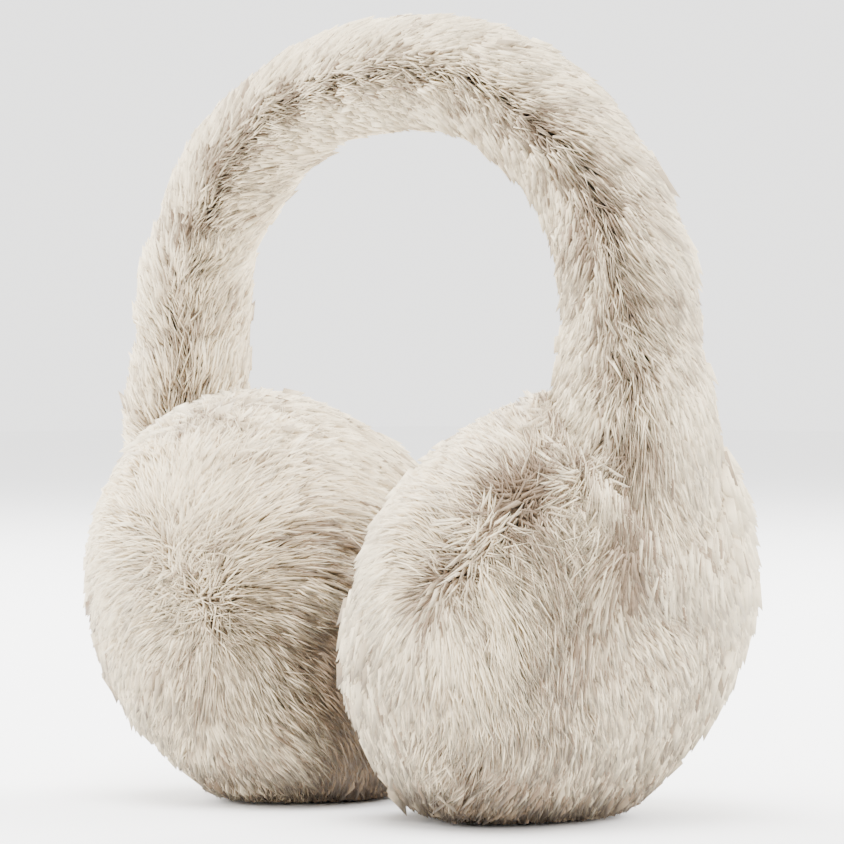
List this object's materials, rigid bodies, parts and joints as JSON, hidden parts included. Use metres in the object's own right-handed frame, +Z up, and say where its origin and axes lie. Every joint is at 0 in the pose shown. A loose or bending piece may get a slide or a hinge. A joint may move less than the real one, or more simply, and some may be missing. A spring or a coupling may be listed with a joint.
{
  "type": "fur earmuffs",
  "caption": "Fluffy faux-fur earmuffs: deep round fur ear cups joined over the head by an arched, fur-covered headband, standing upright on the cups.",
  "frame": {"origin": "on the ground under the middle of the arch, at the bottom centre of the bounding box", "axes": "+X runs to the right-hand ear cup as seen from the front, +Y to the back, +Z up from the ear cups to the top of the headband"},
  "size_m": [0.216, 0.1226, 0.2211],
  "materials": {
    "headband_fur": "deep cream faux-fur pile, matt",
    "left_ear_cup_fur": "deep cream faux-fur pile, matt",
    "right_ear_cup_fur": "deep cream faux-fur pile, matt"
  },
  "bodies": {
    "root": {"headband": "headband_fur", "left_ear_cup": "left_ear_cup_fur", "right_ear_cup": "right_ear_cup_fur"}
  },
  "joints": []
}
